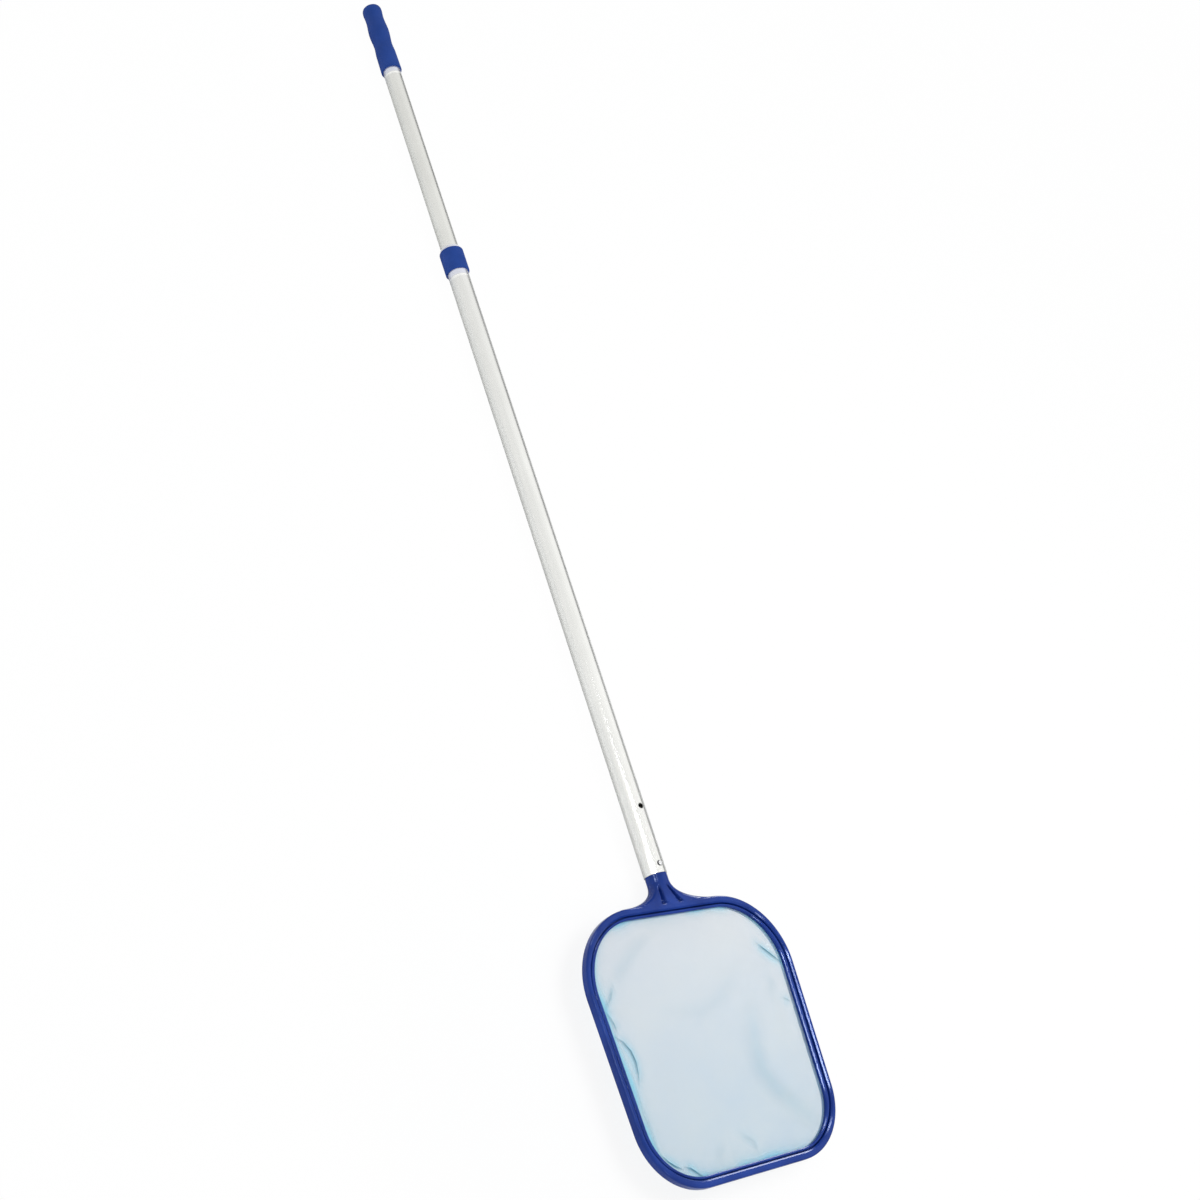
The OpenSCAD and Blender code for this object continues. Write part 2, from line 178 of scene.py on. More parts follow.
def glossyPlastic(name, look):
    material, tree, shader, _ = newMaterial(name)
    point = objectPoint(tree)
    cloud = noiseAt(tree, point, **look["cloud"])
    scuffs = noiseAt(tree, point, **look["scuffs"])
    flow = noiseAt(tree, objectPoint(tree, look["flowStretch"]), **look["flow"])
    fill(tree, shader, {
        "Base Color": ramp(tree, cloud, look["cloudRange"], look["dark"], look["light"]),
        "Roughness": mapRange(tree, scuffs, look["roughness"], look["scuffRange"]),
        "Normal": bumped(tree, flow, look["bumpStrength"], look["bumpHeight"]),
        "Specular IOR Level": look["specular"],
        "Specular Tint": look["specularTint"],
    })
    return material


matteLook = {"cloud": {"scale": 34}, "cloudRange": (0.3, 0.7), "bumpStrength": 0.35,
             "bumpHeight": 0.25 * mm, "specular": 0.25}
gripLook = {"dark": (0.006, 0.044, 0.25), "light": (0.013, 0.06, 0.315), "roughness": (0.52, 0.7),
            "pebbles": {"scale": 700, "detail": 2, "roughness": 0.6}}
whiteLook = {"dark": (0.78, 0.78, 0.83), "light": (0.87, 0.87, 0.92), "roughness": (0.34, 0.52),
             "pebbles": {"scale": 300, "detail": 2, "roughness": 0.6}}


def mattePlastic(name, look):
    material, tree, shader, _ = newMaterial(name)
    point = objectPoint(tree)
    cloud = noiseAt(tree, point, **matteLook["cloud"])
    pebbles = noiseAt(tree, point, **look["pebbles"])
    fill(tree, shader, {
        "Base Color": ramp(tree, cloud, matteLook["cloudRange"], look["dark"], look["light"]),
        "Roughness": mapRange(tree, pebbles, look["roughness"]),
        "Normal": bumped(tree, pebbles, matteLook["bumpStrength"], matteLook["bumpHeight"]),
        "Specular IOR Level": matteLook["specular"],
    })
    return material


tubeLook = {
    "outer": {"dark": (0.82, 0.82, 0.79), "light": (0.88, 0.88, 0.85)},
    "inner": {"dark": (0.8, 0.8, 0.76), "light": (0.86, 0.86, 0.82)},
    "cloud": {"scale": 14}, "cloudRange": (0.3, 0.7), "roughness": (0.24, 0.3),
    "roughnessRange": (0.3, 0.7), "metallic": 0.8, "drawStretch": (1, 0.03, 1),
    "drawLines": {"scale": 320, "detail": 2, "roughness": 0.5}, "drawRange": (0.4, 0.75),
    "drawShare": (0.0, 0.07), "drawGrey": (0.5, 0.5, 0.47), "bumpStrength": 0.02,
    "bumpHeight": 0.05 * mm, "grooveInset": 10 * mm, "reflectionFrom": 1.0 * mm, "reflectionTo": 3.0 * mm,
    "reflectionShare": (0.0, 0.75), "paintedBlueReflection": (0.74, 0.76, 0.88), "glintMiddle": 0.4 * mm,
    "glintHalf": 1.3 * mm, "paintedGlintWhite": (1, 1, 0.97),
}


# Below the collar or grip a painted blue reflection of that part tints the metal, down to a painted
# highlight along the rolled groove
def anodised(name, rimY, dark, light):
    look = tubeLook
    material, tree, shader, _ = newMaterial(name)
    drawLines = noiseAt(tree, objectPoint(tree, look["drawStretch"]), **look["drawLines"])
    cloud = noiseAt(tree, objectPoint(tree), **look["cloud"])
    metal = ramp(tree, cloud, look["cloudRange"], dark, light)
    drawn = mapRange(tree, drawLines, look["drawShare"], look["drawRange"])
    metal = blended(tree, drawn, metal, look["drawGrey"])
    height = axesOf(tree, objectPoint(tree))["Y"]
    grooveY = rimY - look["grooveInset"]
    # painted reflection: a blue band on the metal just below the blue part
    reflectionRange = (grooveY + look["reflectionFrom"], grooveY + look["reflectionTo"])
    blueReflection = mapRange(tree, height, look["reflectionShare"], reflectionRange)
    metal = blended(tree, blueReflection, metal, look["paintedBlueReflection"])
    # painted highlight: a bright white line along the rolled groove
    grooveGlint = maths(tree, "COMPARE", height, grooveY - look["glintMiddle"], look["glintHalf"])
    fill(tree, shader, {
        "Base Color": blended(tree, grooveGlint, metal, look["paintedGlintWhite"]),
        "Roughness": mapRange(tree, drawLines, look["roughness"], look["roughnessRange"]),
        "Metallic": look["metallic"],
        "Normal": bumped(tree, drawLines, look["bumpStrength"], look["bumpHeight"]),
    })
    return material


steelLook = {
    "dark": (0.5, 0.5, 0.51), "light": (0.74, 0.74, 0.75), "grindRange": (0.3, 0.7),
    "grind": {"scale": 1600, "detail": 3, "roughness": 0.7}, "stretch": (1, 0.1, 1),
    "roughness": (0.2, 0.38), "metallic": 1.0,
}


def brightSteel(name, look):
    material, tree, shader, _ = newMaterial(name)
    grind = noiseAt(tree, objectPoint(tree, look["stretch"]), **look["grind"])
    fill(tree, shader, {
        "Base Color": ramp(tree, grind, look["grindRange"], look["dark"], look["light"]),
        "Roughness": mapRange(tree, grind, look["roughness"]),
        "Metallic": look["metallic"],
    })
    return material


buttonLook = {
    "dark": (0.72, 0.72, 0.72), "light": (0.82, 0.82, 0.82), "rimFrom": 0.9 * mm, "rimTo": 0.4 * mm,
    "shade": (0.04, 0.04, 0.045), "shadeTowards": (-0.8, 0.6, 0), "shadeShare": (0.1, 1.0),
    "shadeRange": (-1.5 * mm, 0.5 * mm), "metallic": 0.2, "roughness": 0.4,
}


# Painted shade: the rim is painted dark on the pole's side, where the button's edge turns away
def buttonFace(name, look, low, high):
    material, tree, shader, _ = newMaterial(name)
    grind = noiseAt(tree, objectPoint(tree), **steelLook["grind"])
    face = ramp(tree, grind, steelLook["grindRange"], look["dark"], look["light"])
    middle = ((low.x + high.x) / 2, (low.y + high.y) / 2, 0)
    offMiddle = vectorMaths(tree, "SUBTRACT", objectPoint(tree, (1, 1, 0)), middle)["Vector"]
    away = vectorMaths(tree, "LENGTH", offMiddle)["Value"]
    radius = (high.x - low.x) / 2
    rim = mapRange(tree, away, (0.0, 1.0), (radius - look["rimFrom"], radius - look["rimTo"]))
    # painted shade: the rim is blended towards the dark shade colour on one side
    towards = vectorMaths(tree, "DOT_PRODUCT", offMiddle, look["shadeTowards"])["Value"]
    share = maths(tree, "MULTIPLY", rim, mapRange(tree, towards, look["shadeShare"], look["shadeRange"]))
    fill(tree, shader, {
        "Base Color": blended(tree, share, face, look["shade"]),
        "Metallic": look["metallic"],
        "Roughness": look["roughness"],
    })
    return material


netLook = {
    "pitch": 0.85 * mm, "threadShare": 0.36, "cloud": {"scale": 14, "detail": 2},
    "cloudRange": (0.35, 0.68), "dark": (0.33, 0.54, 0.7), "light": (0.44, 0.61, 0.7),
    "neckTone": (0.74, 0.75, 0.77), "neckShare": (0.0, 0.7), "paintedLight": (0.3, 0.82, 1.0),
    "pinchAndShade": (0.02, 0.24, 0.36), "roughness": 0.55, "throughShare": 0.45,
}


# A weave of threads with clear gaps, which close along folds and under painted light. Folds are darkened,
# partly as denser doubled cloth and partly as painted shade; the rim and the folds' halos get painted
# light, a brighter cyan
def netting(name, look):
    material, tree, shader, output = newMaterial(name)
    point = objectPoint(tree)
    axes = axesOf(tree, point)

    def threads(axis):
        part = maths(tree, "FRACT", maths(tree, "DIVIDE", axes[axis], look["pitch"]))
        return maths(tree, "LESS_THAN", part, look["threadShare"])

    def attribute(label):
        node = tree.nodes.new("ShaderNodeAttribute")
        node.attribute_name = label
        return node.outputs["Fac"]

    # folds darkened, partly as denser doubled cloth and partly as painted shade
    pinchAndShade = attribute("pinchAndShade")
    # painted light: a brighter cyan along the rim by the ring and beside folds
    paintedLight = attribute("paintedLight")
    weave = maths(tree, "MAXIMUM", threads("X"), threads("Y"))
    cover = maths(tree, "MAXIMUM", weave, maths(tree, "MAXIMUM", pinchAndShade, paintedLight))
    cloud = noiseAt(tree, point, **look["cloud"])
    tint = ramp(tree, cloud, look["cloudRange"], look["dark"], look["light"])
    towardsNeck = mapRange(tree, axes["Y"], look["neckShare"], (netLow.y, netHigh.y))
    tint = blended(tree, towardsNeck, tint, look["neckTone"])
    tint = blended(tree, paintedLight, tint, look["paintedLight"])
    tint = blended(tree, pinchAndShade, tint, look["pinchAndShade"])
    fill(tree, shader, {"Base Color": tint, "Roughness": look["roughness"]})
    through = fill(tree, tree.nodes.new("ShaderNodeBsdfTranslucent"), {"Color": tint})
    cloth = mixedShader(tree, look["throughShare"], shader.outputs[0], through.outputs[0])
    clear = tree.nodes.new("ShaderNodeBsdfTransparent")
    fill(tree, output, {0: mixedShader(tree, cover, clear.outputs[0], cloth)})
    return material


frameBlue = glossyPlastic("frameBlue", frameLook)
gripBlue = mattePlastic("gripBlue", gripLook)
outerMetal = anodised("outerMetal", collarLow.y, **tubeLook["outer"])
innerMetal = anodised("innerMetal", gripLow.y, **tubeLook["inner"])
whitePlastic = mattePlastic("whitePlastic", whiteLook)
steel = brightSteel("steel", steelLook)
buttonMetal = buttonFace("buttonMetal", buttonLook, *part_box("front_button"))
netBlue = netting("netBlue", netLook)
print("stage: materials")

# Mesh helpers
meshDetail = {"sharpDegrees": 40, "latheSides": 96}


def piece(name, points, faces, material, body, replaced):
    mesh = bpy.data.meshes.new(name)
    mesh.from_pydata([tuple(p) for p in points], [], faces)
    mesh.validate()
    mesh.polygons.foreach_set("use_smooth", [True] * len(mesh.polygons))
    mesh.set_sharp_from_angle(angle=math.radians(meshDetail["sharpDegrees"]))
    mesh.materials.append(material)
    mesh.update()
    made = bpy.data.objects.new(name, mesh)
    bpy.context.scene.collection.objects.link(made)
    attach(made, body)
    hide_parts(*replaced)
    return made


def skin(rings, closed, capped=False):
    sides = len(rings[0])
    count = len(rings)
    points = [p for ring in rings for p in ring]
    faces = []
    for k in range(count if closed else count - 1):
        for i in range(sides):
            j = (i + 1) % sides
            here, there = k * sides, (k + 1) % count * sides
            faces.append((here + i, here + j, there + j, there + i))
    if capped:
        faces.append(tuple(reversed(range(sides))))
        faces.append(tuple((count - 1) * sides + i for i in range(sides)))
    return points, faces


def joined(*parts):
    points, faces = [], []
    for morePoints, moreFaces in parts:
        start = len(points)
        points += morePoints
        faces += [tuple(start + i for i in face) for face in moreFaces]
    return points, faces


# A profile of [along, radius] in millimetres, turned about the pole's axis
def lathe(profile, centre):
    sides = meshDetail["latheSides"]
    angles = [math.tau * i / sides for i in range(sides)]
    rings = []
    for along, radius in profile:
        out, far = radius * mm, along * mm
        rings.append([centre + Vector((out * math.cos(a), far, -out * math.sin(a))) for a in angles])
    return skin(rings, False)


def bell(u):
    u = min(max(u, 0.0), 1.0)
    return u * u * (3 - 2 * u)


def arc(x, z, radius, start, steps, sweep=quarter):
    return [(x + radius * math.cos(a), z + radius * math.sin(a))
            for a in (start + sweep * i / steps for i in range(steps + 1))]


def between(first, last, share):
    return tuple(a + (b - a) * share for a, b in zip(first, last))


def fromTubeEnd(x, y, z):
    return tubeEnd + Vector((x, y, z)) * mm


# Head, in millimetres from the tube's end: the source's sizes, and endWiden and widenFrom beside them
head = {
    "near": 40.5, "far": 317.4, "halfNear": 141.3, "halfFar": 127.5, "nearRadius": 75.8,
    "farRadius": 64.0, "width": 11.8, "depth": 11.4, "rise": 8.0, "bead": 5.8, "beadRadius": 2.8,
    "beadSteps": 9, "seat": 7.1, "wallTop": 0.5, "edgeBreak": 0.1, "ledgeRadius": 1.6,
    "ledgeSteps": 5, "ringGap": 0.9, "ringHeight": 4.1, "ringRadius": 1.9, "ringSteps": 8,
    "ringFlat": 0.05, "netThickness": 0.7, "clamp": 3.0, "endWiden": 2.0, "widenFrom": 0.2,
    "cornerSteps": 40, "sideSteps": 24,
}
slope = math.atan((head["halfNear"] - head["halfFar"]) / (head["far"] - head["near"]))
nearX = head["halfNear"] - head["nearRadius"] * math.tan(slope) - head["nearRadius"] / math.cos(slope)
farX = head["halfFar"] + head["farRadius"] * math.tan(slope) - head["farRadius"] / math.cos(slope)
nearY = -head["near"] - head["nearRadius"]
farY = -head["far"] + head["farRadius"]
corners = [
    (nearX, nearY, head["nearRadius"], -slope, quarter),
    (-nearX, nearY, head["nearRadius"], quarter, math.pi + slope),
    (-farX, farY, head["farRadius"], math.pi + slope, 3 * quarter),
    (farX, farY, head["farRadius"], 3 * quarter, math.tau - slope),
]
barHalf = head["width"] / 2
barLow = -head["depth"] / 2
barHigh = head["depth"] / 2
beadIn = head["width"] / 2 - head["bead"]
seatZ = head["depth"] / 2 - head["seat"]
netTop = seatZ + head["netThickness"]
ringTop = netTop + head["ringHeight"]

# A bead's inner shoulder has a narrow flat, which mirrors a line of light, between two arcs. Each
# arc has its start and its sweep in degrees
shoulderForm = {"upper": (90, 22), "lower": (152, 28), "steps": 3, "flat": (0.08, 0.92)}


def shoulder(x, z, radius):
    form = shoulderForm
    upper, lower = (arc(x, z, radius, math.radians(start), form["steps"], math.radians(sweep))
                    for start, sweep in (form["upper"], form["lower"]))
    return upper + [between(upper[-1], lower[0], share) for share in form["flat"]] + lower


# Towards the neck and at the far end the outer bead grows and the clamping ring thins
def widening(angle):
    start = head["widenFrom"]
    return head["endWiden"] * bell((abs(math.sin(angle)) - start) / (1 - start))


# Sweeps a section of [outwards, upwards] points along the head's rounded outline
def roundHead(sectionAt):
    stations = []
    for number, (x, y, radius, start, end) in enumerate(corners):
        for k in range(head["cornerSteps"] + 1):
            angle = start + (end - start) * k / head["cornerSteps"]
            stations.append((x, y, radius, angle))
        nextX, nextY, nextRadius = corners[(number + 1) % len(corners)][:3]
        for k in range(1, head["sideSteps"]):
            share = k / head["sideSteps"]
            stations.append((x + (nextX - x) * share, y + (nextY - y) * share,
                             radius + (nextRadius - radius) * share, end))
    rings = []
    for x, y, radius, angle in stations:
        c, s = math.cos(angle), math.sin(angle)
        rings.append([fromTubeEnd(x + (radius + out) * c, y + (radius + out) * s, head["rise"] + up)
                      for out, up in sectionAt(widening(angle))])
    return skin(rings, True)


def frameSection(widen):
    inner = beadIn - widen
    bead, ledge, edge = (head[key] for key in ("beadRadius", "ledgeRadius", "edgeBreak"))
    return (
        arc(-barHalf + ledge, barLow + ledge, ledge, math.pi, head["ledgeSteps"])
        + arc(barHalf - bead, barLow + bead, bead, 3 * quarter, head["beadSteps"])
        + arc(barHalf - bead, barHigh - bead, bead, 0, head["beadSteps"])
        + shoulder(inner + bead, barHigh - bead, bead)
        + [(inner, head["wallTop"]), (inner, seatZ + edge), (inner - edge, seatZ)]
        + [(-barHalf + edge, seatZ), (-barHalf, seatZ - edge)]
    )


def ringSection(widen):
    outer = beadIn - widen - head["ringGap"]
    radius = min(head["ringRadius"], (outer + barHalf) / 2 - head["ringFlat"])
    return (
        [(-barHalf, netTop), (outer, netTop)]
        + arc(outer - radius, ringTop - radius, radius, 0, head["ringSteps"])
        + shoulder(-barHalf + radius, ringTop - radius, radius)
    )


# Each groove of the neck runs from its first x by the tube to its last x by the head
neck = {
    "diameter": 25.0, "straight": 8.0, "flare": 58.0, "under": 2.6, "sides": 180, "steps": 70,
    "grooves": [(-8.6, -11.8), (0.2, 13.0)], "grooveDepth": 4.6, "grooveStart": 5.0, "grooveEnd": 1.6,
    "grooveWidth": 1.0, "grooveWiden": 1.6, "grooveEdge": 4, "fadeIn": 4, "fadeOut": 9,
}


def neckGroove(x, reach):
    start = neck["straight"] + neck["grooveStart"]
    end = head["near"] - barHalf + neck["grooveEnd"]
    share = (reach - start) / (end - start)
    if not 0 < share < 1:
        return 0.0
    width = neck["grooveWidth"] + neck["grooveWiden"] * share
    fade = min(1.0, share * neck["fadeIn"], (1 - share) * neck["fadeOut"])
    across = min(abs(x - first - (last - first) * share) for first, last in neck["grooves"]) / width
    return neck["grooveDepth"] * fade * math.exp(-across ** neck["grooveEdge"])


# From a circle at the tube, where u is 0, to the bar's rounded oblong, where u is 1
def neckRing(u, reach):
    radius = neck["diameter"] / 2
    halfWidth = radius + neck["flare"] * (1 - math.cos(quarter * u))
    halfHeight = radius + (head["depth"] / 2 - radius) * bell(u)
    middle = head["rise"] * bell(u)
    power = 2 / (2 + bell(u))
    ring = []
    for i in range(neck["sides"]):
        a = -math.tau * i / neck["sides"]
        c, s = math.cos(a), math.sin(a)
        x = halfWidth * math.copysign(abs(c) ** power, c)
        z = middle + halfHeight * math.copysign(abs(s) ** power, s)
        if s > 0:
            z -= neckGroove(x, reach)
        ring.append(fromTubeEnd(x, -reach, z))
    return ring


def neckMesh():
    steps = neck["steps"]
    flareLength = head["near"] - barHalf - neck["straight"]
    stations = [(0.0, 0.0)]
    for i in range(steps + 1):
        stations.append((i / steps, neck["straight"] + flareLength * math.sin(quarter * i / steps)))
    stations.append((1.0, head["near"] - neck["under"]))
    return skin([neckRing(u, reach) for u, reach in stations], False, True)


spigot = {"outer": 12.05, "inner": 9.75, "length": 58.0, "chamfer": 1}


def spigotMesh():
    outer, inner, length, chamfer = (spigot[key] for key in ("outer", "inner", "length", "chamfer"))
    wall = [(0, outer), (length - chamfer, outer), (length, outer - chamfer), (length, inner), (0, inner)]
    return lathe(wall, tubeEnd)


headPoints, headFaces = joined(roundHead(frameSection), neckMesh(), spigotMesh())
piece("headMoulding", headPoints, headFaces, frameBlue, "outer_pole", ("head_frame",))
ringPoints, ringFaces = roundHead(ringSection)
piece("clampRing", ringPoints, ringFaces, frameBlue, "outer_pole", ("retaining_ring",))
print("stage: head")

# Folds of the netting as [x, y] points in millimetres from the tube's end, each with its lift and its
# darkening, partly denser cloth and partly painted shade
folds = [
    {"path": [(104, -93), (110, -100), (120, -110), (133, -121)],
     "width": 1.2, "height": 2.6, "pinchAndShade": 1.0},
    {"path": [(-125, -161), (-118, -168), (-112, -178), (-110, -189), (-111, -200), (-114, -212)],
     "width": 1.2, "height": 2.4, "pinchAndShade": 0.95},
    {"path": [(-127, -135), (-123, -147), (-121, -157)], "width": 1.4, "height": 1.4, "pinchAndShade": 0.6},
    {"path": [(-109, -110), (-117, -122), (-126, -132)], "width": 2.2, "height": 1.4, "pinchAndShade": 0.5},
    {"path": [(-119, -214), (-119, -232), (-117, -250), (-116, -268), (-113, -285)],
     "width": 2.2, "height": 0.8, "pinchAndShade": 0.2},
    {"path": [(-114, -281), (-108, -289), (-101, -295), (-92, -300)],
     "width": 1.1, "height": 1.6, "pinchAndShade": 1.0},
    {"path": [(-89, -298), (-83, -301), (-76, -307), (-67, -314)],
     "width": 1.2, "height": 1.8, "pinchAndShade": 1.0},
    {"path": [(-5, -282), (7, -292), (10, -303)], "width": 3.5, "height": 1.0, "pinchAndShade": 0.22},
    {"path": [(115, -156), (124, -162)], "width": 1.4, "height": 0.8, "pinchAndShade": 0.45},
    {"path": [(64, -165), (53, -199), (51, -225), (60, -246), (82, -270), (108, -296)],
     "width": 13.0, "height": 1.6, "pinchAndShade": 0.2},
    {"path": [(-52, -146), (-6, -153), (30, -142), (60, -117)],
     "width": 9.0, "height": 0.8, "pinchAndShade": 0.07},
    {"path": [(-106, -108), (-92, -96), (-67, -77), (-38, -61)],
     "width": 9.0, "height": 1.0, "pinchAndShade": 0.12},
    {"path": [(108, -130), (100, -152)], "width": 7.0, "height": 0.8, "pinchAndShade": 0.1},
    {"path": [(-34, -288), (-48, -306)], "width": 7.0, "height": 0.7, "pinchAndShade": 0.1},
]

# Sags are [height, waves per mm, shift]. Painted light along the rim, a brighter cyan, is strongest on
# the left and by the upper right corner
cloth = {
    "columns": 300, "rows": 300, "heldWithin": 9.0, "sags": [(0.9, 0.018, 0), (0.35, 0.05, 300)],
    "boxReach": 3, "haloWidth": 7.0, "haloPaintedLight": 0.55, "mostPaintedLight": 0.8, "taperEnds": (0.04, 0.96),
    "taperPower": 0.5,
    "rimWidth": 4.5, "rimPaintedLight": 3.0, "patchMiddle": 0.5, "patchShift": (-200, 90), "patchWaves": 0.03,
    "leastPatch": 0.3, "sideMiddle": 0.45, "sideFade": 280, "cornerShare": 0.55, "cornerX": (20, 60),
    "cornerY": (-160, 50), "leastSide": 0.06,
}


def halfWidthAt(y, grow):
    if y > nearY:
        return nearX + math.sqrt(max((head["nearRadius"] + grow) ** 2 - (y - nearY) ** 2, 0))
    if y < farY:
        return farX + math.sqrt(max((head["farRadius"] + grow) ** 2 - (farY - y) ** 2, 0))
    nearEdge = nearX + (head["nearRadius"] + grow) / math.cos(slope)
    farEdge = farX + (head["farRadius"] + grow) / math.cos(slope)
    share = (y - nearY) / (farY - nearY)
    return nearEdge + (farEdge - nearEdge) * share


def foldBox(fold):
    reachOut = cloth["boxReach"] * max(fold["width"], cloth["haloWidth"])
    xs = [x for x, _ in fold["path"]]
    ys = [y for _, y in fold["path"]]
    return min(xs) - reachOut, max(xs) + reachOut, min(ys) - reachOut, max(ys) + reachOut


foldBoxes = [foldBox(fold) for fold in folds]


# How far a point lies from a fold's path, and how far along the path it is
def pathDistance(x, y, path):
    best = None
    total = len(path) - 1
    for number in range(total):
        (x1, y1), (x2, y2) = path[number], path[number + 1]
        dx, dy = x2 - x1, y2 - y1
        t = ((x - x1) * dx + (y - y1) * dy) / (dx * dx + dy * dy)
        t = min(max(t, 0.0), 1.0)
        away = math.hypot(x - x1 - dx * t, y - y1 - dy * t)
        if best is None or away < best[0]:
            best = (away, (number + t) / total)
    return best


# Painted light: a brighter cyan tint along the rim, fading away from the ring
def rimPaintedLight(x, y, edge):
    shiftX, shiftY = cloth["patchShift"]
    patch = cloth["patchMiddle"] + noise.noise(Vector((x + shiftX, y + shiftY, 0)) * cloth["patchWaves"])
    (startX, overX), (startY, overY) = cloth["cornerX"], cloth["cornerY"]
    corner = cloth["cornerShare"] * bell((x - startX) / overX) * bell((y - startY) / overY)
    side = max(cloth["sideMiddle"] - x / cloth["sideFade"], corner, cloth["leastSide"])
    return cloth["rimPaintedLight"] * side * max(patch, cloth["leastPatch"]) * math.exp(-edge / cloth["rimWidth"])


def netShape(x, y, edge):
    lift = sum(size * noise.noise(Vector((x + shift, y, 0)) * waves)
               for size, waves, shift in cloth["sags"])
    pinchAndShade = 0.0
    paintedLight = rimPaintedLight(x, y, edge)
    firstEnd, lastEnd = cloth["taperEnds"]
    for fold, (left, right, bottom, top) in zip(folds, foldBoxes):
        if not (left < x < right and bottom < y < top):
            continue
        away, share = pathDistance(x, y, fold["path"])
        taper = math.sin(math.pi * min(max(share, firstEnd), lastEnd)) ** cloth["taperPower"]
        shape = math.exp(-(away / fold["width"]) ** 2) * taper
        halo = math.exp(-(away / cloth["haloWidth"]) ** 2)
        # the fold's darkening: partly denser doubled cloth, partly painted shade
        lift += fold["height"] * shape
        pinchAndShade = max(pinchAndShade, fold["pinchAndShade"] * shape)
        paintedLight = max(paintedLight, cloth["haloPaintedLight"] * fold["pinchAndShade"] * taper * halo)
    return lift * bell(edge / cloth["heldWithin"]), pinchAndShade, min(paintedLight, cloth["mostPaintedLight"])


def netMesh():
    columns, rows = cloth["columns"], cloth["rows"]
    grow = -barHalf + head["clamp"]
    top, bottom = -head["near"] + grow, -head["far"] - grow
    level = head["rise"] + seatZ + head["netThickness"] / 2
    points, tints, faces = [], [], []
    for r in range(rows + 1):
        y = (top + bottom) / 2 + (top - bottom) / 2 * math.cos(math.pi * r / rows)
        width = halfWidthAt(y, grow)
        for c in range(columns + 1):
            x = -width * math.cos(math.pi * c / columns)
            edge = min(width - abs(x), top - y, y - bottom) - head["clamp"]
            lift, pinchAndShade, paintedLight = netShape(x, y, max(edge, 0.0))
            points.append(fromTubeEnd(x, y, level + lift))
            tints.append((pinchAndShade, paintedLight))
    for r in range(rows):
        for c in range(columns):
            corner = r * (columns + 1) + c
            faces.append((corner, corner + columns + 1, corner + columns + 2, corner + 1))
    return points, faces, tints


netPoints, netFaces, netTints = netMesh()
netPiece = piece("netting", netPoints, netFaces, netBlue, "outer_pole", ("net",))
for number, label in enumerate(("pinchAndShade", "paintedLight")):
    values = netPiece.data.attributes.new(label, "FLOAT", "POINT")
    values.data.foreach_set("value", [tint[number] for tint in netTints])
print("stage: net")

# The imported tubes, collar and twist lock keep their shape and get their materials
dressed = {
    outerMetal: ["outer_tube"],
    innerMetal: ["inner_tube"],
    gripBlue: ["collar"],
    whitePlastic: ["guide_bush", "lock_plug", "lock_cam"],
    steel: ["cam_washer", "cam_screw"],
    buttonMetal: ["front_button", "rear_button"],
}
for material, names in dressed.items():
    for name in names:
        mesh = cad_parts[name].data
        mesh.materials.clear()
        mesh.materials.append(material)
print("stage: pole")

# Grip, in millimetres from its closed end
grip = {
    "length": 110.5, "diameter": 26.0, "wave": 1.4, "pitch": 46.0, "first": 43.5, "step": 1.6,
    "stepLength": 15.0, "taper": 1.4, "round": 9.0, "endWall": 4.0, "bore": 11.6, "axisHole": 0.02,
    "mouth": [(0.5, 0.0), (0.1, 0.15), (0.0, 0.5)], "capSteps": 16,
    "capPower": 0.5, "steps": 90,
}
gripEnd = Vector((0, gripHigh.y, tubeEnd.z))


def gripRadius(s):
    waist = grip["first"] + grip["pitch"] / 2
    if s < waist:
        wave = grip["wave"] * math.cos(math.tau * (s - grip["first"]) / grip["pitch"])
        return (grip["diameter"] + wave) / 2
    step = grip["step"] * bell((s - waist) / grip["stepLength"])
    taper = grip["taper"] * (s - waist) / (grip["length"] - waist)
    return (grip["diameter"] - grip["wave"] + step + taper) / 2


def gripMesh():
    length, roundEnd, steps, power = (grip[key] for key in ("length", "round", "steps", "capPower"))
    endRadius = gripRadius(roundEnd)
    profile = [(0.0, grip["axisHole"])]
    for i in range(1, grip["capSteps"] + 1):
        a = quarter * i / grip["capSteps"]
        profile.append((-roundEnd * (1 - math.cos(a) ** power), endRadius * math.sin(a) ** power))
    for i in range(1, steps):
        s = roundEnd + (length - roundEnd) * i / steps
        profile.append((-s, gripRadius(s)))
    last = gripRadius(length)
    profile += [(-length + along, last - inward) for along, inward in grip["mouth"]]
    profile += [(-length, grip["bore"]), (-grip["endWall"], grip["bore"])]
    profile.append((-grip["endWall"], grip["axisHole"]))
    return lathe(reversed(profile), gripEnd)


gripPoints, gripFaces = gripMesh()
piece("gripSleeve", gripPoints, gripFaces, gripBlue, "inner_pole", ("grip",))
print("stage: grip")


# The spring clip is cut into two legs, one under each button
def clipLeg(name, side):
    strip = bmesh.new()
    strip.from_mesh(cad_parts["spring_clip"].data)
    everything = strip.verts[:] + strip.edges[:] + strip.faces[:]
    cut = bmesh.ops.bisect_plane(strip, geom=everything, plane_co=tubeEnd, plane_no=(0, 0, -side),
                                 clear_outer=True)
    rim = [part for part in cut["geom_cut"] if isinstance(part, bmesh.types.BMEdge)]
    bmesh.ops.holes_fill(strip, edges=rim)
    points = [corner.co.copy() for corner in strip.verts]
    faces = [tuple(corner.index for corner in face.verts) for face in strip.faces]
    strip.free()
    leg = piece(name, points, faces, steel, "outer_pole", ("spring_clip",))
    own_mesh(leg)


clipLeg("clipFront", 1)
clipLeg("clipRear", -1)
print("stage: spring clip")

